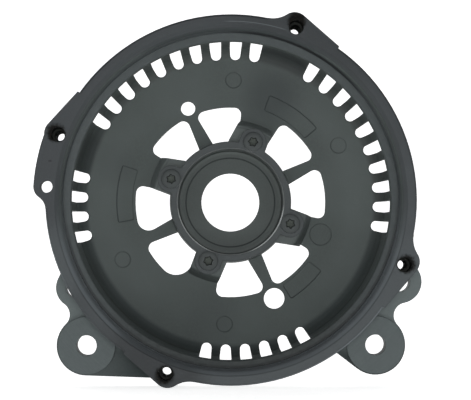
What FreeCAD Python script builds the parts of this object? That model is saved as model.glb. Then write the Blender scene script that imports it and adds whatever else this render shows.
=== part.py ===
import FreeCAD, Part

import math
import os

from FreeCAD import Vector

# Drive-end bracket of a large vehicle alternator: a die-cast dish that carries the stator, the
# drive-end bearing and the mounting ears, with the plate and four screws that hold the bearing.
# The shaft axis is Y. The rim face lies at Y = 0 and opens towards -Y, to the stator. Depths are
# measured from it along +Y, towards the pulley. Seen from the open side, X is right and Z is up.
# Lengths are in millimetres, angles in degrees, counted from +X towards +Z.

# Rim, with the bore that centres the stator and the ring that it rests on
register_radius = 77.5
register_depth = 14.0
register_mouth_round = 3.0
rim_width = 7.2
rim_thickness = 8.0
rim_edge_round = 0.8
seat_ring_width = 3.3
seat_ring_thickness = 3.0
seat_ring_round = 0.5

# Wall and floor of the dish
wall_thickness = 5.5
wall_outer_draft_width = 0.8
wall_inner_draft_width = 1.2
floor_depth = 40.0
floor_thickness = 4.5
cove_radius = 6.0
outer_corner_radius = 7.0
rim_root_round = 2.5

# Hub with the bearing seat
bearing_radius = 26.0
bearing_width = 15.0
hub_rise = 7.5
hub_wall = 2.2
hub_draft_width = 0.6
hub_end_wall = 2.5
hub_back_wall = 2.4
hub_edge_round = 1.2
shaft_hole_radius = 13.8
relief_groove_width = 1.6
relief_groove_depth = 0.8
seal_shoulder_width = 4.8
seal_recess_depth = 1.0

# Every pattern on the bracket is placed from the angle of the first through bolt
pattern_angle = 69.4
quarter = 90.0

# Cooling windows, between four narrow spokes and four wide ones, out from the bearing seat
window_length = 19.0
window_corner_radius = 3.2
# The two windows beside the second narrow spoke have one large corner each
large_corner_spoke = 1
large_corner_radii = (5.5, 8.2)
# Half widths of a narrow spoke, clockwise and counter-clockwise of its middle
narrow_spoke_hub_half_widths = (4.1, 3.3)
narrow_spoke_rim_half_widths = (1.9, 2.5)
narrow_spoke_shifts = (0.0, -0.9, 0.0, 0.0)
# Half angles of each wide spoke, clockwise and counter-clockwise of its screw
wide_spoke_half_angles = ((12.2, 13.7), (11.7, 10.2), (11.0, 11.4), (10.6, 10.2))

# Raised pads on the wide spokes, one side straight and the other flared towards the hub
pad_end_margin = 6.4
pad_end_slope = 2.6
pad_end_round = 2.2
pad_half_width = 6.9
pad_flare_offset = 1.0
# Half widths of each flared side at the hub and at the end of the pad
pad_flares = ((11.0, 9.7), (10.4, 8.5), (8.4, 8.0), (10.4, 8.5))

# Retainer plate and its screws
plate_thickness = 2.5
plate_overhang = 1.2
plate_hole_bevel = 0.5
plate_rim_width = 3.2
plate_lobe_radius = 6.3
screw_radius = 2.5
# Metal left between the bearing seat and a screw
screw_wall = 1.3
screw_length = 12.0
screw_head_radius = 4.55
screw_head_height = 2.0
screw_head_bevel = 0.6
recess_radius = 2.1
recess_depth = 1.5
thread_clearance = 0.05
plate_hole_clearance = 0.25
tap_drill_extra = 1.2

# Air slots through the wall, as first and last place in a ring of equally spaced ones
slots_per_turn = 48
slot_numbers = ((1, 10), (13, 16), (25, 30), (37, 46))
slot_floor_reach = 6.3
slot_inner_half_width = 2.4
slot_side_taper = 0.096

# Bosses for the through bolts, with a long straight flank on one side and a fillet on the other
bolt_circle_inset = 0.4
bolt_thread_radius = 2.5
bolt_entry_radius = 3.4
bolt_entry_depth = 12.0
boss_radius = 6.5
boss_root_radius = 6.5
boss_root_inset = 7.5
# How far each boss stands from its bolt hole, as an angle about the shaft
boss_leads = (0.5, -0.3, 0.5, 1.0)
flank_angle = 14.6
flank_rise = 0.9
boss_fillet = 12.0

# Tab on the rim beside the second boss, with its hole on the bolt circle
tab_hole_angle = 176.0
tab_hole_radius = 2.75
tab_end_radius = 6.0
tab_fillet = 6.5

# Mounting ears
ear_hole_radius = 4.75
ear_face_depth = 20.0
ear_thickness = 14.0
ear_spot_face_rise = 1.5
ear_spot_face_radius = 13.4
lower_ear_radius = 13.9
right_upper_ear_radius = 10.1
left_upper_ear_radius = 9.4
ear_neck_fillet = 6.0
# Each hole, as its distance outside the rim and its angle
right_upper_ear_offset = 2.39
right_upper_ear_angle = -25.51
right_lower_ear_offset = 9.98
right_lower_ear_angle = -44.87
left_upper_ear_offset = -2.36
left_upper_ear_angle = 209.3
left_lower_ear_offset = 10.05
left_lower_ear_angle = 225.09
upper_root_radius = 8.0
lower_root_radius = 10.0
ear_root_inset = 5.7
upper_root_angle = 19.0
lower_root_angle = 51.2
# The web beside the lower left ear ends on the rim
web_end_angle = 247.07
web_end_radius = 4.2
# Behind an upper ear the wall is cut back this much more than the hole, to let the bolt in
bolt_room = 0.6

# Floor details: two holes, ejector marks and cast panels
small_floor_hole_radius = 3.4
small_floor_hole_offset = 3.7
large_floor_hole_radius = 4.9
large_floor_hole_offset = 5.1
mark_radius = 3.8
mark_offset = 1.6
mark_angles = (88.6, 27.7, 208.1, 267.2)
large_mark_radius = 5.2
large_mark_offset = 0.3
large_mark_angle = 340.2
mark_depth = 0.35
panel_offset = 1.3
panel_width = 7.7
panel_angles = ((161.0, 190.5), (40.5, 70.0), (302.0, 323.0))
panel_depth = 0.4
panel_corner_radius = 1.0

# Each facet of a turned rounding stands for this much of its radius
rounding_per_facet = 1.2

# How far a cut runs past a face, and how near two points are one
through = 1.0
same_point = 1e-6

# Sizes worked out from the ones above
rim_radius = register_radius + rim_width
lip_radius = register_radius - seat_ring_width
wall_inner_radius = lip_radius - seat_ring_round
wall_outer_radius = wall_inner_radius + wall_thickness
floor_back = floor_depth + floor_thickness
hub_top = floor_depth - hub_rise
hub_top_radius = bearing_radius + hub_wall
hub_base_radius = hub_top_radius + hub_draft_width
bearing_end = hub_top + bearing_width
hub_back = bearing_end + hub_end_wall
hub_back_radius = bearing_radius + hub_back_wall
seal_recess_radius = bearing_radius - seal_shoulder_width
screw_circle_radius = bearing_radius + screw_wall + screw_radius
pad_end_radius = screw_circle_radius + pad_end_margin
pad_flare_start = bearing_radius + pad_flare_offset
plate_front = hub_top - plate_thickness
plate_hole_radius = bearing_radius - plate_overhang
window_outer_radius = bearing_radius + window_length
slot_start = register_depth + seat_ring_thickness
slot_inner_radius = wall_inner_radius - slot_floor_reach
bolt_circle_radius = rim_radius - bolt_circle_inset
ear_root_circle_radius = wall_inner_radius - ear_root_inset
ear_back = ear_face_depth + ear_thickness
ear_web_depth = ear_face_depth + ear_spot_face_rise
# The bosses end level with the backs of the ears
boss_back = ear_back
wall_middle_radius = wall_inner_radius + 0.45 * wall_thickness
screw_angles = [pattern_angle + quarter * i for i in range(4)]
between_angles = [angle + quarter / 2 for angle in screw_angles]
# Marks and panels keep their places between the windows and the slots
floor_middle_radius = (window_outer_radius + slot_inner_radius) / 2
mark_circle_radius = floor_middle_radius + mark_offset
panel_inner_radius = window_outer_radius + panel_offset
panel_outer_radius = panel_inner_radius + panel_width
# Turned surfaces start in the one narrow spoke that has neither a hole nor a slot beside it
seam_angle = between_angles[1]


def polar(radius, angle):
    """X and Z of a point at a radius and angle about the shaft axis."""
    return (radius * math.cos(math.radians(angle)), radius * math.sin(math.radians(angle)))


right_upper_ear = polar(rim_radius + right_upper_ear_offset, right_upper_ear_angle)
right_lower_ear = polar(rim_radius + right_lower_ear_offset, right_lower_ear_angle)
left_upper_ear = polar(rim_radius + left_upper_ear_offset, left_upper_ear_angle)
left_lower_ear = polar(rim_radius + left_lower_ear_offset, left_lower_ear_angle)
web_end = polar(rim_radius, web_end_angle)


def at(point, depth):
    """A point given by X and Z, placed at a depth behind the rim face."""
    return Vector(point[0], depth, point[1])


def disc(radius, front, back, centre=(0.0, 0.0)):
    """A round bar along the shaft direction from one depth to another."""
    return Part.makeCylinder(radius, back - front, at(centre, front), Vector(0, 1, 0))


def prism(points, front, back):
    """A straight-sided block: an outline of X, Z points carried from one depth to another."""
    corners = [at(point, front) for point in points]
    face = Part.Face(Part.makePolygon(corners + corners[:1]))
    return face.extrude(Vector(0, back - front, 0))


def turned(corners):
    """A solid of revolution about the shaft, from corners given as radius, depth and rounding.
    A small rounding is a bevel, a larger one a run of narrow cones."""
    outline = []
    for i, (radius, depth, rounding) in enumerate(corners):
        corner = Vector(radius, depth, 0)
        if rounding == 0:
            outline.append(corner)
            continue
        following = corners[(i + 1) % len(corners)]
        before = (Vector(corners[i - 1][0], corners[i - 1][1], 0) - corner).normalize()
        after = (Vector(following[0], following[1], 0) - corner).normalize()
        half = before.getAngle(after) / 2
        reach = rounding / math.tan(half)
        centre = corner + (before + after).normalize() * (rounding / math.sin(half))
        start = corner + before * reach - centre
        end = corner + after * reach - centre
        turn = start.getAngle(end)
        steps = max(1, round(rounding / rounding_per_facet))
        for step in range(steps + 1):
            done = turn * step / steps
            spoke = start * math.sin(turn - done) + end * math.sin(done)
            outline.append(centre + spoke * (1 / math.sin(turn)))
    face = Part.Face(Part.makePolygon(outline + outline[:1]))
    face.rotate(Vector(0, 0, 0), Vector(0, 1, 0), -seam_angle)
    return face.revolve(Vector(0, 0, 0), Vector(0, 1, 0), 360)


def strap(first, first_radius, second, second_radius, front, back):
    """Two round ends with the straight sides that touch both."""
    along = Vector(second[0] - first[0], second[1] - first[1], 0)
    direction = math.atan2(along.y, along.x)
    lean = math.acos((first_radius - second_radius) / along.Length)
    sides = []
    for centre, radius in ((first, first_radius), (second, second_radius)):
        for turn in (lean, -lean):
            angle = math.degrees(direction + turn)
            offset = polar(radius, angle)
            sides.append((centre[0] + offset[0], centre[1] + offset[1]))
    left_first, right_first, left_second, right_second = sides
    middle = prism([left_first, right_first, right_second, left_second], front, back)
    ends = [disc(first_radius, front, back, first), disc(second_radius, front, back, second)]
    return middle.multiFuse(ends)


def fillet_between(first, first_radius, second, second_radius, fillet, side, front, back):
    """The web of a concave fillet between two round outlines, on the left (1) or right (-1)
    of the line from the first centre to the second."""
    start = Vector(first[0], first[1], 0)
    along = Vector(second[0], second[1], 0) - start
    distance = along.Length
    along.normalize()
    across = Vector(-along.y, along.x, 0) * side
    to_first = first_radius + fillet
    to_second = second_radius + fillet
    forward = (to_first ** 2 - to_second ** 2 + distance ** 2) / (2 * distance)
    outward = math.sqrt(to_first ** 2 - forward ** 2)
    centre = start + along * forward + across * outward
    web = prism([first, second, (centre.x, centre.y)], front, back)
    return web.cut(disc(fillet, front - through, back + through, (centre.x, centre.y)))


def fused(solids):
    """One solid from several that overlap, with coplanar faces joined."""
    return solids[0].multiFuse(solids[1:]).removeSplitter()


def dish():
    """The turned body: rim, register, seat ring, wall, cove and floor."""
    return turned([
        (0, floor_depth, 0),
        (wall_inner_radius - wall_inner_draft_width, floor_depth, cove_radius),
        (wall_inner_radius, register_depth + seat_ring_round, 0),
        (lip_radius, register_depth, 0),
        (register_radius, register_depth, 0),
        (register_radius, 0, register_mouth_round),
        (rim_radius, 0, rim_edge_round),
        (rim_radius, rim_thickness, rim_edge_round),
        (wall_outer_radius, rim_thickness, rim_root_round),
        (wall_outer_radius - wall_outer_draft_width, floor_back, outer_corner_radius),
        (0, floor_back, 0),
    ])


def dish_space():
    """The room inside the dish that everything added to the outside stays out of."""
    return turned([
        (0, -through, 0),
        (rim_radius, -through, 0),
        (rim_radius, 0, 0),
        (register_radius, 0, register_mouth_round),
        (register_radius, register_depth, 0),
        (wall_middle_radius, register_depth, 0),
        (wall_middle_radius, floor_back + through, 0),
        (0, floor_back + through, 0),
    ])


def hub_island():
    """The raised hub ring and its back boss, before the bearing seat is bored. Both taper
    away from the floor."""
    ring = turned([
        (0, hub_top, 0),
        (hub_top_radius, hub_top, 0),
        (hub_base_radius, floor_depth, 0),
        (hub_back_radius, hub_back, hub_edge_round),
        (0, hub_back, 0),
    ])
    return ring.fuse(screw_pads())


def screw_pads():
    """Four pads on the wide spokes, level with the hub, with sloping rounded ends."""
    block = turned([
        (screw_circle_radius / 2, hub_top, 0),
        (pad_end_radius, hub_top, pad_end_round),
        (pad_end_radius + pad_end_slope, floor_depth, 0),
        (pad_end_radius + pad_end_slope, floor_back, 0),
        (screw_circle_radius / 2, floor_back, 0),
    ])
    pads = []
    for i, angle in enumerate(screw_angles):
        flare_side = 1 if i % 2 == 0 else -1
        flare_half_width, tip_half_width = pad_flares[i]
        reach = window_outer_radius
        outline = [
            (screw_circle_radius / 2, -pad_half_width * flare_side),
            (reach, -pad_half_width * flare_side),
            (reach, pad_half_width * flare_side),
            (pad_end_radius, tip_half_width * flare_side),
            (pad_flare_start, flare_half_width * flare_side),
            (screw_circle_radius / 2, flare_half_width * flare_side),
        ]
        pads.append(block.common(prism(turned_to(outline, angle), hub_top, floor_back)))
    return fused(pads)


def turned_to(points, angle):
    """Points given along and across a radius, turned to the angle of that radius."""
    cosine = math.cos(math.radians(angle))
    sine = math.sin(math.radians(angle))
    return [(u * cosine - v * sine, u * sine + v * cosine) for u, v in points]


def window(first, last, last_corner_radius):
    """One cooling window between two sides, each given by its angles at the hub and at the rim."""
    front = hub_top
    inner_first = at(polar(bearing_radius, first[0]), front)
    outer_first = at(polar(window_outer_radius, first[1]), front)
    outer_middle = at(polar(window_outer_radius, (first[1] + last[1]) / 2), front)
    outer_last = at(polar(window_outer_radius, last[1]), front)
    inner_last = at(polar(bearing_radius, last[0]), front)
    edges = [
        Part.LineSegment(inner_first, outer_first),
        Part.Arc(outer_first, outer_middle, outer_last),
        Part.LineSegment(outer_last, inner_last),
        Part.LineSegment(inner_last, inner_first),
    ]
    wire = Part.Wire([edge.toShape() for edge in edges])
    block = Part.Face(wire).extrude(Vector(0, floor_back + through - front, 0))
    for corner, radius in ((outer_first, window_corner_radius), (outer_last, last_corner_radius)):
        upright = [edge for edge in block.Edges if stands_on(edge, corner)]
        block = block.makeFillet(radius, upright)
    return block


def stands_on(edge, corner):
    """True for an edge along the shaft direction that starts or ends at a corner."""
    points = [vertex.Point for vertex in edge.Vertexes]
    along_shaft = abs(points[0].y - points[-1].y) > through
    return along_shaft and min(point.distanceToPoint(corner) for point in points) < same_point


def half_angles(half_widths, radius):
    """The angles that two half widths take up at a radius."""
    return [math.degrees(math.asin(half / radius)) for half in half_widths]


def cooling_windows():
    """All eight windows, one on each side of every narrow spoke."""
    hub_before, hub_after = half_angles(narrow_spoke_hub_half_widths, bearing_radius)
    rim_before, rim_after = half_angles(narrow_spoke_rim_half_widths, window_outer_radius)
    windows = []
    for i, between in enumerate(between_angles):
        middle = between + narrow_spoke_shifts[i]
        wide_before = screw_angles[i] + wide_spoke_half_angles[i][1]
        wide_after = screw_angles[i] + quarter - wide_spoke_half_angles[(i + 1) % 4][0]
        corners = (window_corner_radius, window_corner_radius)
        if i == large_corner_spoke:
            corners = large_corner_radii
        windows.append(window((wide_before, wide_before),
                              (middle - hub_before, middle - rim_before), corners[0]))
        windows.append(window((middle + hub_after, middle + rim_after),
                              (wide_after, wide_after), corners[1]))
    return windows


def air_slots():
    """Slots that wrap the cove from the floor to the seat ring, round at their inner end."""
    round_centre = slot_inner_radius + slot_inner_half_width
    outer = rim_radius + through
    outer_half_width = slot_inner_half_width + slot_side_taper * (outer - round_centre)
    outline = [
        (round_centre, -slot_inner_half_width),
        (outer, -outer_half_width),
        (outer, outer_half_width),
        (round_centre, slot_inner_half_width),
    ]
    pitch = 360.0 / slots_per_turn
    slots = []
    for first, last in slot_numbers:
        for place in range(first, last + 1):
            angle = pattern_angle + pitch * (place + 0.5)
            body = prism(turned_to(outline, angle), slot_start, floor_back + through)
            end = disc(slot_inner_half_width, slot_start, floor_back + through,
                       polar(round_centre, angle))
            slots.append(body.fuse(end))
    return slots


def through_bolt_bosses():
    """Four columns outside the wall, each with its straight flank and its fillet."""
    parts = []
    for angle, lead in zip(screw_angles, boss_leads):
        centre = polar(bolt_circle_radius, angle + lead)
        root = polar(bolt_circle_radius - boss_root_inset, angle)
        parts.append(strap(root, boss_root_radius, centre, boss_radius, 0, boss_back))
        flank_start = polar(rim_radius + flank_rise, angle - flank_angle)
        flank_root = polar(wall_outer_radius, angle - flank_angle)
        lean = math.degrees(math.acos(boss_radius / math.dist(centre, flank_start)))
        towards = math.degrees(math.atan2(flank_start[1] - centre[1], flank_start[0] - centre[0]))
        offset = polar(boss_radius, towards + lean)
        tangent = (centre[0] + offset[0], centre[1] + offset[1])
        parts.append(prism([flank_root, flank_start, tangent, centre, root], 0, rim_thickness))
        parts.append(fillet_between((0, 0), rim_radius, centre, boss_radius, boss_fillet, 1,
                                    0, rim_thickness))
    return parts


def side_tab():
    """The flat tab that runs on from the second boss to a hole beside the rim."""
    hole = polar(bolt_circle_radius, tab_hole_angle)
    outer = bolt_circle_radius + tab_end_radius
    first_angle = screw_angles[1]
    middle_angle = (first_angle + tab_hole_angle) / 2
    inner = wall_outer_radius
    edges = [
        Part.LineSegment(at(polar(inner, first_angle), 0), at(polar(outer, first_angle), 0)),
        Part.Arc(at(polar(outer, first_angle), 0), at(polar(outer, middle_angle), 0),
                 at(polar(outer, tab_hole_angle), 0)),
        Part.LineSegment(at(polar(outer, tab_hole_angle), 0), at(polar(inner, tab_hole_angle), 0)),
        Part.Arc(at(polar(inner, tab_hole_angle), 0), at(polar(inner, middle_angle), 0),
                 at(polar(inner, first_angle), 0)),
    ]
    band = Part.Face(Part.Wire([edge.toShape() for edge in edges]))
    return [
        band.extrude(Vector(0, rim_thickness, 0)),
        disc(tab_end_radius, 0, rim_thickness, hole),
        fillet_between((0, 0), rim_radius, hole, tab_end_radius, tab_fillet, 1, 0, rim_thickness),
    ]


def ear_pair(upper, upper_ear_radius, lower, hand):
    """An upper and a lower ear on one side, joined by a neck and rooted in the wall."""
    upper_root = polar(ear_root_circle_radius, -upper_root_angle)
    lower_root = polar(ear_root_circle_radius, -lower_root_angle)
    upper_root = (upper_root[0] * hand, upper_root[1])
    lower_root = (lower_root[0] * hand, lower_root[1])
    front, back = ear_web_depth, ear_back
    return [
        strap(upper_root, upper_root_radius, upper, upper_ear_radius, front, back),
        strap(lower_root, lower_root_radius, lower, lower_ear_radius, front, back),
        prism([upper, lower, lower_root, upper_root], front, back),
        fillet_between(upper, upper_ear_radius, lower, lower_ear_radius, ear_neck_fillet, hand,
                       front, back),
        disc(ear_spot_face_radius, ear_face_depth, back, lower),
    ]


def mounting_ears():
    """Both pairs of ears, with the web that ties the lower left one to the third boss."""
    lower_root = polar(ear_root_circle_radius, 180 + lower_root_angle)
    web = strap(left_lower_ear, lower_ear_radius, web_end, web_end_radius,
                ear_web_depth, ear_back)
    fill = prism([left_lower_ear, web_end, lower_root], ear_web_depth, ear_back)
    right = ear_pair(right_upper_ear, right_upper_ear_radius, right_lower_ear, 1)
    left = ear_pair(left_upper_ear, left_upper_ear_radius, left_lower_ear, -1)
    return right + left + [web, fill]


def floor_marks():
    """Shallow sunk ejector marks and cast panels on the inside of the floor."""
    marks = [disc(mark_radius, floor_depth - through, floor_depth + mark_depth,
                  polar(mark_circle_radius, angle)) for angle in mark_angles]
    marks.append(disc(large_mark_radius, floor_depth - through, floor_depth + mark_depth,
                      polar(window_outer_radius + large_mark_offset, large_mark_angle)))
    return marks + [cast_panel(first, last) for first, last in panel_angles]


def cast_panel(first, last):
    """A sunk panel with two curved sides about the shaft axis."""
    front = floor_depth - through
    middle = (first + last) / 2
    inner, outer = panel_inner_radius, panel_outer_radius
    edges = [
        Part.Arc(at(polar(inner, first), front), at(polar(inner, middle), front),
                 at(polar(inner, last), front)),
        Part.LineSegment(at(polar(inner, last), front), at(polar(outer, last), front)),
        Part.Arc(at(polar(outer, last), front), at(polar(outer, middle), front),
                 at(polar(outer, first), front)),
        Part.LineSegment(at(polar(outer, first), front), at(polar(inner, first), front)),
    ]
    block = Part.Face(Part.Wire([edge.toShape() for edge in edges]))
    block = block.extrude(Vector(0, through + panel_depth, 0))
    upright = [edge for edge in block.Edges
               if abs(edge.Vertexes[0].Point.y - edge.Vertexes[-1].Point.y) > panel_depth]
    return block.makeFillet(panel_corner_radius, upright)


def bearing_seat():
    """The bore for the bearing, with its relief groove, seal recess and shaft hole."""
    groove_radius = bearing_radius - relief_groove_width
    groove_bottom = bearing_end + relief_groove_depth
    return turned([
        (0, hub_top - through, 0),
        (bearing_radius, hub_top - through, 0),
        (bearing_radius, groove_bottom, 0),
        (groove_radius, groove_bottom, 0),
        (groove_radius, bearing_end, 0),
        (seal_recess_radius, bearing_end, 0),
        (seal_recess_radius, bearing_end + seal_recess_depth, 0),
        (shaft_hole_radius, bearing_end + seal_recess_depth, 0),
        (shaft_hole_radius, hub_back + through, 0),
        (0, hub_back + through, 0),
    ])


def drilled_holes():
    """Every round hole in the casting apart from the bearing seat."""
    holes = []
    screw_tip = plate_front + screw_length
    for angle in screw_angles:
        screw = polar(screw_circle_radius, angle)
        bolt = polar(bolt_circle_radius, angle)
        holes.append(disc(screw_radius + thread_clearance, hub_top - through,
                          screw_tip + tap_drill_extra, screw))
        holes.append(disc(bolt_thread_radius, -through, boss_back + through, bolt))
        holes.append(disc(bolt_entry_radius, -through, bolt_entry_depth, bolt))
    for ear in (right_lower_ear, left_lower_ear):
        holes.append(disc(ear_hole_radius, ear_face_depth - through, ear_back + through, ear))
    for ear in (right_upper_ear, left_upper_ear):
        holes.append(disc(ear_hole_radius, ear_web_depth, ear_back + through, ear))
        holes.append(disc(ear_hole_radius + bolt_room, ear_back, floor_back + through, ear))
    holes.append(disc(tab_hole_radius, -through, rim_thickness + through,
                      polar(bolt_circle_radius, tab_hole_angle)))
    holes.append(disc(small_floor_hole_radius, floor_depth - through, floor_back + through,
                      polar(window_outer_radius + small_floor_hole_offset,
                            between_angles[0])))
    holes.append(disc(large_floor_hole_radius, floor_depth - through, floor_back + through,
                      polar(window_outer_radius + large_floor_hole_offset,
                            between_angles[2])))
    return holes


def bracket_casting():
    """The whole die casting, machined."""
    outside = fused(through_bolt_bosses() + side_tab() + mounting_ears()).cut(dish_space())
    body = dish().cut(Part.makeCompound(cooling_windows()))
    body = fused([body, hub_island(), outside])
    body = body.cut(Part.makeCompound(air_slots()))
    return body.cut(drilled_holes() + floor_marks() + [bearing_seat()])


def bearing_retainer():
    """The steel plate over the bearing: a ring with a round lobe under each screw."""
    outer = plate_hole_radius + plate_rim_width
    solids = [disc(outer, plate_front, hub_top)]
    for angle in screw_angles:
        solids.append(strap(polar(outer - plate_lobe_radius, angle), plate_lobe_radius,
                            polar(screw_circle_radius, angle), plate_lobe_radius,
                            plate_front, hub_top))
    hole = turned([
        (0, plate_front - through, 0),
        (plate_hole_radius + plate_hole_bevel + through, plate_front - through, 0),
        (plate_hole_radius, plate_front + plate_hole_bevel, 0),
        (plate_hole_radius, hub_top + through, 0),
        (0, hub_top + through, 0),
    ])
    screw_holes = [disc(screw_radius + plate_hole_clearance, plate_front - through,
                        hub_top + through, polar(screw_circle_radius, angle))
                   for angle in screw_angles]
    return fused(solids).cut([hole] + screw_holes)


def retainer_screw(angle):
    """A screw with a low bevelled head, a round recess in place of its lobes and a plain shank."""
    head_top = plate_front - screw_head_height
    screw = turned([
        (0, head_top + recess_depth, 0),
        (recess_radius, head_top + recess_depth, 0),
        (recess_radius, head_top, 0),
        (screw_head_radius, head_top, screw_head_bevel),
        (screw_head_radius, plate_front, 0),
        (screw_radius, plate_front, 0),
        (screw_radius, plate_front + screw_length, 0),
        (0, plate_front + screw_length, 0),
    ])
    screw.translate(at(polar(screw_circle_radius, angle), 0))
    return screw


def write(node, shape):
    """One exported file for each separate piece."""
    shape.exportStep("parts/" + node + ".step")


os.makedirs("parts", exist_ok=True)
write("bracket_casting", bracket_casting())
write("bearing_retainer", bearing_retainer())
for number, screw_angle in enumerate(screw_angles, start=1):
    write("retainer_screw_{}".format(number), retainer_screw(screw_angle))
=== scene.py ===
import math

import bpy
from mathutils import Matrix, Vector


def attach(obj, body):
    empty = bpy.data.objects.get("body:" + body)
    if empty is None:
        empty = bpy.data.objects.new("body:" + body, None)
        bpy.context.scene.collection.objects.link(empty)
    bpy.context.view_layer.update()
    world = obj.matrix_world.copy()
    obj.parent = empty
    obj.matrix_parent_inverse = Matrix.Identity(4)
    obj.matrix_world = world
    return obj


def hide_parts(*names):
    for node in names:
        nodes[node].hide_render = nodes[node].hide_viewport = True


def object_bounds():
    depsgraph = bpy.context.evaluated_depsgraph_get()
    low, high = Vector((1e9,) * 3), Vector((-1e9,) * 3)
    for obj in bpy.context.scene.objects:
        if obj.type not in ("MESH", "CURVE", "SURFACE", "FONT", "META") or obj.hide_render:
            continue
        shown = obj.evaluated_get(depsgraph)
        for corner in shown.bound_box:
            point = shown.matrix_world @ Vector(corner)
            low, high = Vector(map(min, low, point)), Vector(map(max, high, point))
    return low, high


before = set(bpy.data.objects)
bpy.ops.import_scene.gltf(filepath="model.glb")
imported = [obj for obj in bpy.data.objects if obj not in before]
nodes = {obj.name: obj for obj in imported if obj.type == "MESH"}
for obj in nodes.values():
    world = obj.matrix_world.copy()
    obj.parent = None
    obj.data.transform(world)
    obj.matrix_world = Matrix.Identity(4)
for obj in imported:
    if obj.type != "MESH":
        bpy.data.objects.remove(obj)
cad_box = [list(corner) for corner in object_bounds()]
scene = bpy.context.scene

# The bracket stands as in the frame: shaft axis along Y, the open side towards -Y, Z up.
# Lengths are in millimetres, and a mesh or a material turns them into metres.
MM = 0.001

# Retainer plate and its screws. The first screw is the top one, and the rest follow it
# anticlockwise as seen from the open side
pattern_angle = 69.4
quarter = 90.0
screw_angles = [pattern_angle + quarter * i for i in range(4)]
screw_circle_radius = 29.8
plate_front = 30.0
plate_hole_radius = 24.8
screw_head_radius = 4.55
screw_head_height = 2.0
screw_head_top = plate_front - screw_head_height
screw_recess_radius = 2.4
screw_shank_radius = 2.5
screw_length = 12.0
screw_pitch = 0.8
screw_thread_depth = 0.4
plain_shank_length = 2.4
# How far each screw's recess was left turned when it was tightened, in degrees
recess_turns = (53.0, 37.0, 10.0, 38.0)

# Through-bolt holes in the bosses, on the same angles
bolt_circle_radius = 84.3
bolt_thread_radius = 2.5
bolt_entry_radius = 3.4
bolt_entry_depth = 12.0
bolt_pitch = 0.8
bolt_thread_height = 0.33
boss_back = 34.0
# How far oil has crept across and up from each bolt hole
oil_creep = ((0.2, 2.6), (-0.9, 0.6), (-0.7, -0.9), (0.8, 0.3))

# Rim and dish, from the open side inwards. Depths are measured from the rim face
flange_edge_start = 81.0
mouth_round = 3.0
register_radius = 77.5
seat_ring_depth = 14.0
seat_ring_thickness = 3.0
wall_radius = 73.0
floor_corner_radius = 70.8
floor_edge_radius = 66.0
cove_depth = 35.0
floor_depth = 40.0
# Nearer the shaft than this, a face at a machined depth is part of the hub and not of the rim
rim_ring_start = 70.0
ear_spot_face_depth = 20.0

# Round marks that the ejector pins left, and cast panels, all sunk in the floor. Angles are in
# degrees, and each panel has a first and a last one
mark_depth = 0.35
mark_radius = 3.8
mark_circle_radius = 57.8
mark_angles = (88.6, 27.7, 208.1, 267.2)
large_mark_radius = 5.2
large_mark_circle_radius = 45.3
large_mark_angle = 340.2
panel_outer_radius = 54.0
panel_end_angles = (161.0, 190.5, 40.5, 70.0, 302.0, 323.0)

# Hub
pad_depth = 32.5
pad_end_depth = 39.6
pad_start_radius = 35.5
pad_end_radius = 40.5
bearing_radius = 26.0
bearing_seat_end = 47.5
relief_groove_edge = 24.4
seal_recess_radius = 21.2


def linear(hex_colour):
    """A colour written as sRGB hex digits, as linear red, green, blue and alpha."""
    channels = [int(hex_colour[i:i + 2], 16) / 255 for i in (0, 2, 4)]
    curved = [c / 12.92 if c <= 0.04045 else ((c + 0.055) / 1.055) ** 2.4 for c in channels]
    return (*curved, 1.0)


def round_shaft(radius, degrees):
    """The place, as X and Z, of what lies at an angle on a circle round the shaft."""
    turn = math.radians(degrees)
    return radius * math.cos(turn), radius * math.sin(turn)


screw_places = [round_shaft(screw_circle_radius, angle) for angle in screw_angles]
bolt_places = [round_shaft(bolt_circle_radius, angle) for angle in screw_angles]

# Kinds of shader node, each with the settings that it has here
principled = ("ShaderNodeBsdfPrincipled", {})
surface_output = ("ShaderNodeOutputMaterial", {})
coordinates = ("ShaderNodeTexCoord", {})
scaled = ("ShaderNodeVectorMath", {"operation": "SCALE"})
separated = ("ShaderNodeSeparateXYZ", {})
combined = ("ShaderNodeCombineXYZ", {})
plus = ("ShaderNodeMath", {"operation": "ADD"})
minus = ("ShaderNodeMath", {"operation": "SUBTRACT"})
times = ("ShaderNodeMath", {"operation": "MULTIPLY"})
larger = ("ShaderNodeMath", {"operation": "MAXIMUM"})
smaller = ("ShaderNodeMath", {"operation": "MINIMUM"})
magnitude = ("ShaderNodeMath", {"operation": "ABSOLUTE"})
square_root = ("ShaderNodeMath", {"operation": "SQRT"})
# A smooth step. While its first input runs from the second to the third, it goes from 0 to 1,
# or from the fourth to the fifth where these are given
step = ("ShaderNodeMapRange", {"interpolation_type": "SMOOTHSTEP"})
# Blends. The first input says how much of the third goes over the second
blend = ("ShaderNodeMix", {"data_type": "RGBA"})
blend_numbers = ("ShaderNodeMix", {"data_type": "FLOAT"})
blend_vectors = ("ShaderNodeMix", {"data_type": "VECTOR"})
# Cloudy noise. Its inputs are a point, one divided by the width of a cloud, how many finer
# layers lie over the clouds, and how strong each layer is beside the one before
clouds = ("ShaderNodeTexNoise", {})
# Normals of edges that are rounded by a radius, which is given in metres
rounded_edges = ("ShaderNodeBevel", {"samples": 6})
soft_edges = ("ShaderNodeBevel", {"samples": 8})
bumps = ("ShaderNodeBump", {})

# Most of a noise lies between these two values
noise_low = 0.3
noise_high = 0.7


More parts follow.
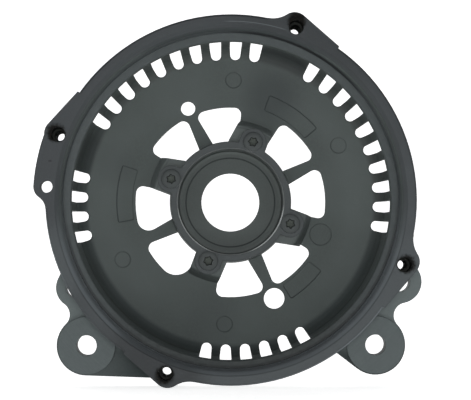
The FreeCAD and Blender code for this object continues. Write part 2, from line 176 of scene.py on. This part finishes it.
class Surface:
    """A node material under construction, and where its nodes are on the object, in mm."""

    def __init__(self, name):
        self.material = bpy.data.materials.new(name)
        self.material.use_nodes = True
        self.tree = self.material.node_tree
        self.tree.nodes.clear()
        shader = self.add(principled)
        self.shader = shader.node
        self.add(surface_output, shader)
        metres = self.add(coordinates).node.outputs["Object"]
        self.point = self.add(scaled, metres, 1 / MM)
        self.x, self.y, self.z = self.add(separated, self.point).node.outputs
        self.radius = self.away_from((0.0, 0.0))

    def add(self, kind, *values, **named_values):
        """Adds a node and returns its first output. Values are numbers, colours or outputs of
        other nodes, for the node's inputs in order or by name."""
        type_name, settings = kind
        node = self.tree.nodes.new(type_name)
        for key, setting in settings.items():
            setattr(node, key, setting)
        in_use = [socket for socket in node.inputs if socket.enabled]
        for socket, value in zip(in_use, values):
            self.feed(socket, value)
        for key, value in named_values.items():
            self.feed(node.inputs[key], value)
        return next((socket for socket in node.outputs if socket.enabled), None)

    def feed(self, socket, value):
        """Links another node's output to an input, or sets a number or colour on it."""
        if isinstance(value, bpy.types.NodeSocket):
            self.tree.links.new(value, socket)
        else:
            socket.default_value = value

    def away_from(self, place):
        """The distance from a line along the shaft direction through a place in X and Z."""
        across = self.add(minus, self.x, place[0])
        up = self.add(minus, self.z, place[1])
        squares = self.add(plus, self.add(times, across, across), self.add(times, up, up))
        return self.add(square_root, squares)

    def nearest_of(self, places):
        """The distance from the nearest of several such lines."""
        nearest = self.away_from(places[0])
        for place in places[1:]:
            nearest = self.add(smaller, nearest, self.away_from(place))
        return nearest

    def between(self, value, low, high, soft):
        """1 where the value lies between low and high, and 0 outside, with soft ends."""
        rise = self.add(step, value, low - soft, low)
        fall = self.add(step, value, high, high + soft, 1.0, 0.0)
        return self.add(times, rise, fall)

    def finish(self, **shader_values):
        """Feeds the shader's inputs, named with _ for a space, and gives the material."""
        for key, value in shader_values.items():
            self.feed(self.shader.inputs[key.replace("_", " ")], value)
        return self.material


# The looks of the casting, one laid over the other. Each of these functions takes s, the surface
# under construction, and gives back the colour so far with its own tones added
def cast_skin(s, blots, grain):
    """Skin as it came from the die: wide blots of darker and paler oxide, over fine grain."""
    blotchy = s.add(step, blots, noise_low, noise_high)
    colour = s.add(blend, blotchy, linear("484e4d"), linear("4e5554"))
    return s.add(blend, s.add(step, grain, 0.35, 0.7), colour, linear("515856"))


def floor_patches(s, colour):
    """Wide soft darker and paler patches on the floor: darker ones above the top pad, at the bottom
    and inside the upper left boss, and paler ones elsewhere. The floor is palest at both sides."""
    dull = linear("33383a")
    pale = linear("575e5d")
    on_floor = s.add(step, s.radius, floor_edge_radius, rim_ring_start, 1.0, 0.0)
    # Each patch's middle in X and Z, how far it reaches, its strength and its tone
    patches = (
        ((19.0, 50.0), 19.0, 0.5, dull),
        ((-8.0, -54.0), 20.0, 0.2, dull),
        ((-56.0, 19.0), 14.0, 0.3, dull),
        ((-48.0, -32.0), 26.0, 0.5, pale),
        ((-25.0, 52.0), 24.0, 0.3, pale),
        ((44.0, 44.0), 18.0, 0.4, pale),
        ((52.0, 8.0), 22.0, 0.3, pale),
    )
    for place, reach, strength, tone in patches:
        patch = s.add(step, s.away_from(place), 0.2 * reach, reach, strength, 0.0)
        colour = s.add(blend, s.add(times, patch, on_floor), colour, tone)
    side_bottom = -25.0
    side_top = 22.0
    side_fade = 28.0
    outwards = s.add(times, s.add(step, s.radius, 48.0, 60.0, 0.0, 0.4), on_floor)
    at_sides = s.add(times, outwards, s.between(s.z, side_bottom, side_top, side_fade))
    return s.add(blend, at_sides, colour, linear("5e6564"))


def shaded_mark_corners(s, colour):
    """Painted shade in the corners of the sunk marks, and along the outer sides and ends of the
    panels.
    """
    width = 0.45
    soft = 0.1
    corners = s.between(s.radius, panel_outer_radius - width, panel_outer_radius + soft, soft)
    for angle in panel_end_angles:
        along = round_shaft(1.0, angle)
        across = s.add(minus, s.add(times, s.x, along[1]), s.add(times, s.z, along[0]))
        at_end = s.add(step, s.add(magnitude, across), width, width + soft, 0.7, 0.0)
        # The same line beyond the shaft isn't an end of the panel
        outwards = s.add(plus, s.add(times, s.x, along[0]), s.add(times, s.z, along[1]))
        at_end = s.add(times, at_end, s.add(step, outwards, 0.0, 1.0))
        corners = s.add(larger, corners, at_end)

    small_marks = [round_shaft(mark_circle_radius, angle) for angle in mark_angles]
    from_small = s.nearest_of(small_marks)
    small_edge = s.between(from_small, mark_radius - width, mark_radius + soft, soft)
    from_large = s.away_from(round_shaft(large_mark_circle_radius, large_mark_angle))
    large_edge = s.between(from_large, large_mark_radius - width, large_mark_radius + soft, soft)
    edges = s.add(times, s.add(larger, small_edge, large_edge), 0.4)
    corners = s.add(larger, corners, edges)

    # Only what lies deeper than the floor itself
    sunk = s.between(s.y, floor_depth + 0.1, floor_depth + mark_depth + 0.1, 0.05)
    # Painted shade in those corners and along those edges
    painted_shade = s.add(times, s.add(times, corners, sunk), 0.6)
    return s.add(blend, painted_shade, colour, linear("1f2425"))


def cove_and_wall(s, colour, lower_half, in_cove_depth):
    """Painted shade in the cove round the floor, brownish at the top and darkest at the left, under
    a wall with painted light in its lower half. Where no slots are cut, the wall carries painted
    shadows."""
    cove_shade_start = 68.8
    slots_start = 18.0
    lit_wall_start = seat_ring_depth + seat_ring_thickness + 0.5
    lit_wall_end = 32.0
    # Painted shade in the cove, with its own strength and tone in the lower half
    ring = s.between(s.radius, cove_shade_start, floor_corner_radius, 2.0)
    from_left = s.add(step, s.x, -66.0, -40.0)
    upper_strength = s.add(blend_numbers, from_left, 0.46, 0.28)
    strength = s.add(blend_numbers, lower_half, upper_strength, 0.45)
    cove_shade = s.add(times, s.add(times, ring, in_cove_depth), strength)
    tone = s.add(blend, from_left, linear("1d2426"), linear("2b2726"))
    tone = s.add(blend, lower_half, tone, linear("1b2326"))
    colour = s.add(blend, cove_shade, colour, tone)

    beyond_floor = s.add(step, s.radius, floor_edge_radius, 69.0)
    inside_wall = s.add(times, beyond_floor, s.add(step, s.y, slots_start, slots_start + 4.0))
    # Each painted shadow's middle in X and Z, where it starts to fade and where it ends, its
    # strength and its tone. One lies inside the top boss and one inside the upper left boss
    painted_shadow_places = (
        ((24.0, 66.0), 8.0, 18.0, 0.4, linear("25292b")),
        ((-69.0, 23.0), 7.0, 14.0, 0.3, linear("14181a")),
    )
    for place, near, far, strength, tone in painted_shadow_places:
        painted_shadow = s.add(step, s.away_from(place), near, far, strength, 0.0)
        colour = s.add(blend, s.add(times, painted_shadow, inside_wall), colour, tone)

    # Painted light on the wall's lower half
    wall = s.add(times, s.between(s.y, lit_wall_start, lit_wall_end, 1.5),
                 s.between(s.radius, wall_radius - 1.0, wall_radius + 1.5, 0.5))
    colour = s.add(blend, s.add(times, wall, lower_half), colour, linear("636a69"))

    # The bore that centres the stator, with painted light in its lower half and painted shade below
    # the top boss
    bore = s.add(times, s.between(s.y, mouth_round + 0.5, seat_ring_depth - 0.5, 0.4),
                 s.between(s.radius, register_radius - 0.7, register_radius + 0.5, 0.3))
    tone = s.add(blend, lower_half, linear("4b5153"), linear("767c80"))
    top_boss_foot = (32.0, 70.0)
    below_boss = s.add(step, s.away_from(top_boss_foot), 20.0, 42.0, 0.9, 0.0)
    tone = s.add(blend, below_boss, tone, linear("1c1f21"))
    return s.add(blend, bore, colour, tone)


def ear_light_and_shade(s, colour, blots):
    """Painted light keeps the ears paler than the dish, down to webs by the lowest boss darkened by
    painted shadow.
    """
    behind_flange = 14.0
    web_shadow_level = -68.0
    outside = s.add(times, s.add(step, s.radius, flange_edge_start - 0.5, flange_edge_start + 1.0),
                    s.add(step, s.y, behind_flange, behind_flange + 3.0))
    ragged_height = s.add(plus, s.z, s.add(times, blots, 8.0))
    # Painted shadow on the low webs, darker towards the right
    web_shadow = s.add(step, ragged_height, web_shadow_level, web_shadow_level + 8.0, 1.0, 0.0)
    painted_shade = s.add(blend, s.add(step, s.x, -60.0, -40.0), linear("464d4d"), linear("2d3535"))
    skin = s.add(blend, web_shadow, linear("646c6c"), painted_shade)
    return s.add(blend, outside, colour, skin)


def turned_rim(s, colour, blots, rings, at_rim, lower_half, low_right):
    """The turned rim face, darker than the skin, with its rounded mouth and outer edge.
    Returns the colour and where the face is."""
    dirty_place = (-38.0, -76.0)
    rubbed_and_lit_place = (-79.0, -29.0)
    dull_place = (34.0, 74.0)
    by_lowest_boss = s.add(step, s.away_from(dirty_place), 16.0, 34.0, 1.0, 0.0)
    dirty = s.add(times, by_lowest_boss, s.add(step, blots, 0.25, 0.6, 0.4, 0.9))
    # Painted light on the rounded outer edge
    outer_edge = s.add(times, s.add(step, s.y, 0.9, 1.2, 1.0, 0.0),
                       s.add(step, s.radius, flange_edge_start, flange_edge_start + 1.0))
    colour = s.add(blend, s.add(times, outer_edge, 0.8), colour, linear("626a6c"))

    # Painted light in the mouth's lower half, and painted shadow at its top
    mouth = s.add(times, s.between(s.y, 0.3, mouth_round, 0.3), at_rim)
    beside = s.add(step, s.add(magnitude, s.x), 32.0, 55.0)
    tone = s.add(blend, beside, linear("575c60"), linear("62686c"))
    colour = s.add(blend, s.add(times, mouth, s.add(times, lower_half, 0.8)), colour, tone)
    at_top = s.add(step, s.z, 62.0, 74.0, 0.0, 0.75)
    colour = s.add(blend, s.add(times, mouth, at_top), colour, linear("383d3f"))

    # The dark of the face runs on over its edges: as painted shade into the mouth in the upper half
    # and over the outer edge at the lower left, and as dirt into the mouth where it is dirty
    flat = s.add(step, s.y, 0.15, 0.3, 1.0, 0.0)
    low_left = s.add(times, s.add(step, s.z, -45.0, -25.0, 1.0, 0.0),
                     s.add(step, s.x, 0.0, 20.0, 1.0, 0.0))
    into_mouth = s.add(larger, s.add(step, s.z, -30.0, 5.0, 0.15, 0.9), s.add(times, dirty, 0.8))
    into_mouth = s.add(times, into_mouth, s.add(step, s.y, 0.5, 1.4, 1.0, 0.0))
    face = s.add(larger, s.add(larger, flat, s.add(times, outer_edge, low_left)), into_mouth)
    face = s.add(times, face, at_rim)

    # Paler towards the lower right and at the left above the ears, partly rubbed and partly painted
    # highlight, dirty by the lowest boss and duller by the top one
    tone = s.add(blend, rings, linear("313538"), linear("363a3c"))
    rubbed_and_lit = s.add(step, s.add(plus, low_right, s.add(times, blots, 60.0)), 20.0, 110.0)
    rubbed_and_lit_left = s.add(step, s.away_from(rubbed_and_lit_place), 8.0, 24.0, 1.0, 0.0)
    rubbed_and_lit = s.add(larger, rubbed_and_lit, rubbed_and_lit_left)
    tone = s.add(blend, rubbed_and_lit, tone, linear("404547"))
    tone = s.add(blend, dirty, tone, linear("26292b"))
    duller = s.add(step, s.away_from(dull_place), 18.0, 48.0, 0.45, 0.0)
    tone = s.add(blend, duller, tone, linear("202426"))
    colour = s.add(blend, face, colour, tone)

    # One long bright line left by the turning tool near the top, and a small dark pit above
    # the side tab
    line = s.add(times, s.between(s.radius, 81.3, 81.55, 0.15), s.between(s.x, 0.0, 22.0, 5.0))
    line = s.add(times, line, s.add(step, s.z, 60.0, 70.0))
    line = s.add(times, line, s.add(times, face, 0.5))
    colour = s.add(blend, line, colour, linear("5d6466"))
    pit = s.add(times, s.between(s.x, -83.1, -81.9, 0.3), s.between(s.z, 17.3, 17.8, 0.3))
    colour = s.add(blend, s.add(times, pit, 0.8), colour, linear("1c1f21"))
    return colour, face


def seat_ring(s, colour, at_rim, lower_half):
    """The turned ring that the stator rests on, with painted shade towards the bottom, painted
    light at the left and painted shade in its outer corner in the lower half. Returns the colour
    and where the ring is."""
    ring = s.add(times, s.between(s.y, seat_ring_depth - 0.2, seat_ring_depth + 0.2, 0.1), at_rim)
    # Painted shade towards the bottom and painted light at the left
    at_bottom = s.add(step, s.z, -70.0, -45.0, 1.0, 0.0)
    tone = s.add(blend, at_bottom, linear("3f4546"), linear("363b3b"))
    at_left = s.add(step, s.x, -72.0, -42.0, 1.0, 0.0)
    tone = s.add(blend, at_left, tone, linear("464c4d"))
    colour = s.add(blend, ring, colour, tone)
    # Painted shade in the outer corner in the lower half
    corner = s.add(times, ring, s.add(step, s.radius, register_radius - 1.7, register_radius - 0.9))
    corner = s.add(times, s.add(times, corner, lower_half), 0.75)
    return s.add(blend, corner, colour, linear("25292a")), ring


def ear_spot_faces(s, colour, rings, at_rim):
    """The faces milled round the ears' holes. Returns the colour and where they are."""
    faces = s.between(s.y, ear_spot_face_depth - 0.15, ear_spot_face_depth + 0.15, 0.1)
    faces = s.add(times, faces, at_rim)
    tone = s.add(blend, rings, linear("495051"), linear("4d5555"))
    return s.add(blend, faces, colour, tone), faces


def hub(s, colour, blots, low_right):
    """Milled pads, paler partly from milling and partly as painted light, with painted light on the
    sloping ends of the upper pads, and a bearing seat bored clean, with painted light and shade
    over it and painted shade in the corners of its step and its groove."""
    hub_reach = 45.0
    # Painted light on the sloping ends of the upper pads
    slope = s.add(times, s.between(s.y, pad_depth + 0.4, pad_end_depth, 0.3),
                  s.between(s.radius, pad_start_radius, pad_end_radius, 0.5))
    slope = s.add(times, slope, s.add(step, s.z, -25.0, 5.0, 0.0, 0.8))
    colour = s.add(blend, slope, colour, linear("6e7574"))
    # The milled pad faces are paler, partly from milling and partly as painted light
    pad_face = s.add(times, s.between(s.y, pad_depth - 0.2, pad_depth + 0.2, 0.1),
                     s.add(step, s.radius, hub_reach, hub_reach + 1.0, 1.0, 0.0))
    colour = s.add(blend, pad_face, colour, linear("575d5c"))

    seat = s.add(times, s.add(step, s.radius, bearing_radius, bearing_radius + 0.3, 1.0, 0.0),
                 s.add(step, s.y, bearing_seat_end - 2.0, bearing_seat_end - 1.0))
    tone = s.add(blend, blots, linear("505655"), linear("575d5b"))
    colour = s.add(blend, seat, colour, tone)
    # Painted light in the seat's outer corner, most towards the lower right
    corner = s.add(step, s.radius, relief_groove_edge + 0.3, bearing_radius - 0.3)
    corner = s.add(times, s.add(times, corner, seat), s.add(step, low_right, -5.0, 15.0, 0.0, 0.6))
    colour = s.add(blend, corner, colour, linear("7d8382"))
    # Painted shade on the seat's upper half, and painted light on its lower half and beside the
    # groove
    upper = s.add(times, s.add(step, s.z, -6.0, 12.0), seat)
    colour = s.add(blend, s.add(times, upper, 0.5), colour, linear("4a504f"))
    lower = s.add(times, s.add(step, s.z, -12.0, -2.0, 1.0, 0.0), seat)
    colour = s.add(blend, s.add(times, lower, 0.5), colour, linear("606665"))
    by_groove = s.add(step, s.radius, relief_groove_edge - 2.0, relief_groove_edge - 0.6, 0.0, 0.4)
    colour = s.add(blend, s.add(times, by_groove, seat), colour, linear("6c7270"))

    # Painted shade in the corners of the step and the groove
    step_corner = s.between(s.radius, seal_recess_radius - 0.2, seal_recess_radius + 0.15, 0.35)
    groove_edge = s.between(s.radius, relief_groove_edge, relief_groove_edge + 0.3, 0.3)
    corner_shade = s.add(larger, step_corner, s.add(times, groove_edge, 0.5))
    corner_shade = s.add(times, s.add(times, corner_shade, seat), 0.6)
    return s.add(blend, corner_shade, colour, linear("202425"))


def oily_bolt_holes(s, colour, grain):
    """Bolt holes dark with old oil and painted shade inside, and oil that has crept out over the
    face and dried. Returns the colour and where the dried oil is."""
    from_hole = s.nearest_of(bolt_places)
    near = s.add(step, from_hole, bolt_entry_radius + 0.1, bolt_entry_radius + 1.0, 1.0, 0.0)
    inside = s.add(times, near, s.add(step, s.y, 0.05, 0.8))

    oily_places = []
    for hole, creep in zip(bolt_places, oil_creep):
        oily_places.append((hole[0] + creep[0], hole[1] + creep[1]))
    # The oil dried in ragged tongues
    tongue_width = 1.8
    tongue_length = 5.0
    ragged = s.add(times, s.add(clouds, s.point, 1 / tongue_width, 5.0, 0.75), tongue_length)
    from_oil = s.add(plus, s.nearest_of(oily_places), ragged)
    dried = s.add(step, from_oil, bolt_entry_radius + 2.0, bolt_entry_radius + 4.2, 0.95, 0.0)
    dried = s.add(times, dried, s.add(step, s.y, 0.5, 2.0, 1.0, 0.0))

    flecks = s.add(step, grain, 0.4, 0.75)
    # Old oil and painted shade darken the hole's walls
    oil_and_shade_tone = s.add(blend, flecks, linear("191b19"), linear("34342c"))
    colour = s.add(blend, s.add(times, inside, 0.9), colour, oil_and_shade_tone)
    dry_tone = s.add(blend, flecks, linear("1a1b1a"), linear("3a332b"))
    return s.add(blend, s.add(times, dried, 0.9), colour, dry_tone), dried


def cast_relief(s, grain, rings, machined, soft_zone):
    """Edges rounded by tumbling, a faintly uneven cast skin and turning marks. The edges of the
    soft zone are rounder."""
    edge_radius = 0.45
    soft_edge_radius = 1.6
    swell_width = 3.5
    sharp = s.add(rounded_edges, edge_radius * MM)
    soft = s.add(soft_edges, soft_edge_radius * MM)
    edges = s.add(blend_vectors, soft_zone, sharp, soft)
    swells = s.add(clouds, s.point, 1 / swell_width, 3.0, 0.5)
    coarse = s.add(bumps, Strength=0.3, Distance=0.25 * MM, Height=swells, Normal=edges)
    skin_height = s.add(times, grain, s.add(minus, 1.0, machined))
    fine = s.add(bumps, Strength=0.2, Distance=0.1 * MM, Height=skin_height, Normal=coarse)
    mark_height = s.add(times, rings, machined)
    return s.add(bumps, Strength=0.15, Distance=0.03 * MM, Height=mark_height, Normal=fine)


def cast_aluminium():
    """Die-cast aluminium gone dull dark grey: a soft, blotchy, half-matt skin, with smoother
    turned and milled faces."""
    s = Surface("die_cast_aluminium")
    # The real grain, near 0.1 mm, and turning marks, near 0.15 mm apart, are too fine to show,
    # so both are drawn coarser
    blot_width = 26.0
    grain_width = 0.9
    turning_mark_gap = 0.35
    blots = s.add(clouds, s.point, 1 / blot_width, 4.0, 0.55)
    grain = s.add(clouds, s.point, 1 / grain_width, 5.0, 0.65)
    turned_place = s.add(combined, s.radius, s.y, 0.0)
    marks = s.add(clouds, turned_place, 1 / turning_mark_gap, 2.0, 0.5)
    rings = s.add(step, marks, noise_low, noise_high)
    at_rim = s.add(step, s.radius, rim_ring_start, rim_ring_start + 1.0)
    lower_half = s.add(step, s.z, -30.0, 10.0, 1.0, 0.0)
    # How far a point lies from the shaft towards the lower right
    low_right = s.add(minus, s.add(times, s.x, 0.35), s.add(times, s.z, 0.94))
    in_cove_depth = s.add(step, s.y, cove_depth - 2.0, cove_depth)

    colour = cast_skin(s, blots, grain)
    colour = floor_patches(s, colour)
    colour = shaded_mark_corners(s, colour)
    colour = cove_and_wall(s, colour, lower_half, in_cove_depth)
    colour = ear_light_and_shade(s, colour, blots)
    colour, rim_face = turned_rim(s, colour, blots, rings, at_rim, lower_half, low_right)
    colour, ring = seat_ring(s, colour, at_rim, lower_half)
    colour, spot_faces = ear_spot_faces(s, colour, rings, at_rim)
    colour = hub(s, colour, blots, low_right)
    colour, dried_oil = oily_bolt_holes(s, colour, grain)

    # Cut faces are smoother than the skin. Dried oil takes the sheen off the metal. It is drawn
    # rough and fully metallic, as a dark full metal has no pale reflection of its own
    machined = s.add(larger, s.add(larger, rim_face, ring), spot_faces)
    roughness = s.add(step, grain, noise_low, noise_high, 0.64, 0.74)
    roughness = s.add(plus, roughness, s.add(times, machined, -0.14))
    roughness = s.add(plus, roughness, s.add(times, dried_oil, 0.3))
    metallic = s.add(blend_numbers, dried_oil, 0.35, 1.0)
    mouth = s.add(times, s.between(s.y, 0.2, mouth_round - 0.2, 0.2), at_rim)
    cove = s.add(times, in_cove_depth, s.between(s.radius, 66.5, 72.0, 0.5))
    normal = cast_relief(s, grain, rings, machined, s.add(larger, mouth, cove))
    return s.finish(Base_Color=colour, Roughness=roughness, Metallic=metallic,
                    Specular_IOR_Level=0.4, Normal=normal)


def plate_steel():
    """Pressed steel plate, dull grey, with a painted highlight along its hole's edge, brightest on
    both lower sides.
    """
    s = Surface("pressed_plate_steel")
    # The real grain of rolled steel is too fine to show and is drawn coarser
    blot_width = 12.0
    grain_width = 0.7
    blots = s.add(clouds, s.point, 1 / blot_width, 4.0, 0.6)
    grain = s.add(clouds, s.point, 1 / grain_width, 4.0, 0.6)
    blotchy = s.add(step, blots, noise_low, noise_high)
    colour = s.add(blend, blotchy, linear("313637"), linear("363b3c"))
    colour = s.add(blend, s.add(step, grain, 0.4, 0.75), colour, linear("3b4041"))

    # A painted highlight along the hole's edge, strongest on both lower sides and more at the right
    edge = s.between(s.radius, plate_hole_radius - 0.6, plate_hole_radius + 0.3, 0.25)
    both_sides = s.add(step, s.add(magnitude, s.x), 4.0, 15.0)
    below = s.add(step, s.z, -7.0, 1.0, 1.0, 0.0)
    more_at_right = s.add(step, s.x, -24.0, 6.0, 0.65, 1.0)
    bright = s.add(times, s.add(times, both_sides, below), more_at_right)
    edge_glint = s.add(larger, bright, s.add(step, s.z, 0.0, 12.0, 0.25, 0.13))
    colour = s.add(blend, s.add(times, edge, edge_glint), colour, linear("d8dddc"))

    edge_radius = 0.35
    edges = s.add(rounded_edges, edge_radius * MM)
    normal = s.add(bumps, Strength=0.25, Distance=0.05 * MM, Height=grain, Normal=edges)
    roughness = s.add(step, grain, noise_low, noise_high, 0.5, 0.6)
    return s.finish(Base_Color=colour, Roughness=roughness, Metallic=0.4, Normal=normal)


def screw_steel():
    """Phosphated screw steel: dull grey like the plate, with an olive recess whose walls carry
    painted shade.
    """
    s = Surface("phosphated_screw_steel")
    # The crystals of the coating are too fine to show and are drawn coarser
    crystal_width = 0.5
    grain = s.add(clouds, s.point, 1 / crystal_width, 4.0, 0.6)
    colour = s.add(blend, s.add(step, grain, 0.35, 0.7), linear("303535"), linear("373c3c"))

    # Painted shade darkens the recess walls. The side of the head carries painted light, so it is
    # paler
    from_axis = s.nearest_of(screw_places)
    in_recess = s.add(step, from_axis, screw_recess_radius - 0.1, screw_recess_radius + 0.1,
                      1.0, 0.0)
    wall = s.add(times, in_recess, s.add(step, s.y, screw_head_top + 0.05, screw_head_top + 0.4))
    colour = s.add(blend, wall, colour, linear("151917"))
    bottom = s.add(times, in_recess, s.add(step, s.y, screw_head_top + 1.0, screw_head_top + 1.3))
    colour = s.add(blend, bottom, colour, linear("303631"))
    side = s.add(times, s.add(step, from_axis, screw_head_radius - 0.25, screw_head_radius - 0.05),
                 s.add(step, s.y, screw_head_top + 0.3, screw_head_top + 0.5))
    colour = s.add(blend, side, colour, linear("979d9d"))

    edge_radius = 0.2
    edges = s.add(rounded_edges, edge_radius * MM)
    normal = s.add(bumps, Strength=0.25, Distance=0.04 * MM, Height=grain, Normal=edges)
    roughness = s.add(step, grain, noise_low, noise_high, 0.5, 0.6)
    return s.finish(Base_Color=colour, Roughness=roughness, Metallic=0.4, Normal=normal)


def light_table():
    """White acrylic lit from below, so it glows evenly and leaves no hard shadow."""
    s = Surface("white_light_table")
    # The panel's white varies by a trace, over wide stretches
    stretch = 300.0
    uneven = s.add(clouds, s.point, 1 / stretch, 2.0, 0.55)
    shade = s.add(step, uneven, noise_low, noise_high)
    tone = s.add(blend, shade, linear("f4f4f4"), linear("ffffff"))
    return s.finish(Base_Color=tone, Roughness=0.9, Specular_IOR_Level=0.1,
                    Emission_Color=linear("ffffff"), Emission_Strength=0.75)


def mesh_object(name, points, faces, material):
    """A smooth mesh object with one material, from points in metres."""
    mesh = bpy.data.meshes.new(name)
    mesh.from_pydata(points, [], faces)
    mesh.validate()
    mesh.update()
    mesh.materials.append(material)
    mesh.shade_smooth()
    made = bpy.data.objects.new(name, mesh)
    scene.collection.objects.link(made)
    return made


def bracket_piece(name, points, faces, material):
    """A mesh object from points in millimetres, with its sharp edges kept, on the bracket."""
    sharp_from = math.radians(30.0)
    piece = mesh_object(name, [Vector(p) * MM for p in points], faces, material)
    piece.data.set_sharp_from_angle(angle=sharp_from)
    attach(piece, "root")
    return piece


def beside(centre, radius, angle, depth):
    """A point round a line along the shaft direction. The angle is in radians."""
    return (centre[0] + radius * math.cos(angle), depth, centre[1] + radius * math.sin(angle))


def joined_rings(rings):
    """Points and faces of a closed skin through rings that have equal counts of points."""
    count = len(rings[0])
    points = [point for ring in rings for point in ring]
    faces = []
    for level in range(len(rings) - 1):
        lower, upper = level * count, (level + 1) * count
        for i in range(count):
            j = (i + 1) % count
            faces.append((lower + i, lower + j, upper + j, upper + i))
    faces.append(tuple(reversed(range(count))))
    faces.append(tuple(range(len(points) - count, len(points))))
    return points, faces


def six_lobe_screw(number, centre, turn, material):
    """One retainer screw: low head with a six-lobe recess, and a threaded shank."""
    count = 72
    angles = [2 * math.pi * i / count for i in range(count)]
    top = screw_head_top
    thread_root_radius = screw_shank_radius - screw_thread_depth
    tip_depth = plate_front + screw_length

    def ring(radius, depth):
        return [beside(centre, radius, a, depth) for a in angles]

    def lobes(mean, swing, depth):
        return [beside(centre, mean + swing * math.cos(6 * (a - turn)), a, depth) for a in angles]

    # From the bottom of the recess out over the head's small rounded edge to the shank. A lobed
    # ring has a mean radius, how far its lobes swing from it, and a depth
    rings = [
        lobes(0.9, 0.06, top + 1.5),
        lobes(1.75, 0.24, top + 1.35),
        lobes(1.95, 0.27, top + 0.12),
        lobes(2.1, 0.27, top),
        ring(2.8, top),
        ring(screw_head_radius - 0.25, top + 0.01),
        ring(screw_head_radius - 0.07, top + 0.08),
        ring(screw_head_radius, top + 0.25),
        ring(screw_head_radius, plate_front),
        ring(screw_shank_radius, plate_front),
    ]
    depth = plate_front + plain_shank_length
    while depth < tip_depth - screw_pitch:
        rings.append(ring(screw_shank_radius, depth))
        rings.append(ring(thread_root_radius, depth + screw_pitch / 2))
        depth += screw_pitch
    rings.append(ring(thread_root_radius - 0.1, tip_depth))
    points, faces = joined_rings(rings)
    piece = bracket_piece("six_lobe_screw_{}".format(number), points, faces, material)
    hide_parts("retainer_screw_{}".format(number))


def bolt_thread(number, centre, material):
    """The thread that lines one bolt hole, as a helical ridge rooted in the wall of the hole."""
    per_turn = 32
    thread_start = bolt_entry_depth + 0.2
    plain_end = 1.0
    turns = int((boss_back - bolt_entry_depth - plain_end) / bolt_pitch)
    crest = bolt_thread_radius - bolt_thread_height
    root = bolt_thread_radius + 0.08
    # Across the ridge: each corner's radius, and its place as a share of the pitch
    corners = ((root, 0.0), (crest, 0.28), (crest, 0.44), (root, 0.72))
    sections = []
    for i in range(turns * per_turn + 1):
        angle = 2 * math.pi * i / per_turn
        depth = thread_start + bolt_pitch * i / per_turn
        section = [beside(centre, radius, angle, depth + share * bolt_pitch)
                   for radius, share in corners]
        sections.append(section)
    points, faces = joined_rings(sections)
    piece = bracket_piece("bolt_thread_{}".format(number), points, faces, material)


def studio_floor():
    """A wide white floor that sweeps up behind the bracket. Its sizes are in metres."""
    gap_under_ears = 0.0005
    width = 6.0
    front = -4.0
    bend_start = 1.2
    bend_radius = 1.0
    bend_steps = 12
    height = 4.0
    level = cad_box[0][2] - gap_under_ears
    profile = [(front, 0.0), (bend_start, 0.0)]
    for i in range(1, bend_steps + 1):
        turn = math.radians(90 * i / bend_steps)
        along = bend_start + bend_radius * math.sin(turn)
        profile.append((along, bend_radius - bend_radius * math.cos(turn)))
    profile.append((bend_start + bend_radius, height))
    points = []
    for along, rise in profile:
        points.append((-width / 2, along, level + rise))
        points.append((width / 2, along, level + rise))
    faces = [(2 * i, 2 * i + 1, 2 * i + 3, 2 * i + 2) for i in range(len(profile) - 1)]
    floor = mesh_object("studio_floor", points, faces, light_table())


# The casting and the plate are carried over and only get their materials. The screws are made
# anew, and each bolt hole gets its thread
casting_material = cast_aluminium()
plate_material = plate_steel()
screw_material = screw_steel()
for slot in nodes["bracket_casting"].material_slots:
    slot.material = casting_material
for slot in nodes["bearing_retainer"].material_slots:
    slot.material = plate_material
for i in range(4):
    six_lobe_screw(i + 1, screw_places[i], math.radians(recess_turns[i]), screw_material)
    bolt_thread(i + 1, bolt_places[i], casting_material)

studio_floor()

# One soft oblong light, level with the shaft and well in front of the open side, in metres
light_place = Vector((0.02, -1.7, 0.0))
lit_place = Vector((0.0, 0.02, 0.0))
light_data = bpy.data.lights.new("key_light", "AREA")
light_data.shape = "RECTANGLE"
light_data.size = 0.5
light_data.size_y = 0.3
light_data.energy = 11.0
light = bpy.data.objects.new("key_light", light_data)
light.location = light_place
light.rotation_mode = "QUATERNION"
light.rotation_quaternion = (lit_place - light_place).to_track_quat("-Z", "Y")
scene.collection.objects.link(light)

# Weak, slightly cool light from all round
world = bpy.data.worlds.new("studio_air")
world.use_nodes = True
background = world.node_tree.nodes["Background"]
background.inputs["Color"].default_value = linear("f4f6f8")
background.inputs["Strength"].default_value = 0.25
scene.world = world
scene.view_settings.view_transform = "Standard"
scene.view_settings.look = "None"

# Camera: one metre in front of the rim face, a little left of the shaft and below it
image_width = 471.0
image_height = 400.0
mm_per_pixel = 0.455
camera_distance = 1000.0
camera_x = -9.04
camera_z = -29.6
# The picture point straight ahead of the camera, and the middle of the picture
ahead = (211.4, 264.6)
middle = (image_width / 2, image_height / 2)
focal_pixels = camera_distance / mm_per_pixel
sensor_width = 36.0

camera_data = bpy.data.cameras.new("camera")
camera_data.sensor_width = sensor_width
camera_data.lens = sensor_width * focal_pixels / image_width
camera_data.clip_start = 0.05
camera_data.clip_end = 20.0
camera = bpy.data.objects.new("camera", camera_data)
camera.location = (camera_x * MM, -camera_distance * MM, camera_z * MM)
look = Vector((middle[0] - ahead[0], focal_pixels, ahead[1] - middle[1]))
camera.rotation_mode = "QUATERNION"
camera.rotation_quaternion = look.to_track_quat("-Z", "Y")
scene.collection.objects.link(camera)
scene.camera = camera
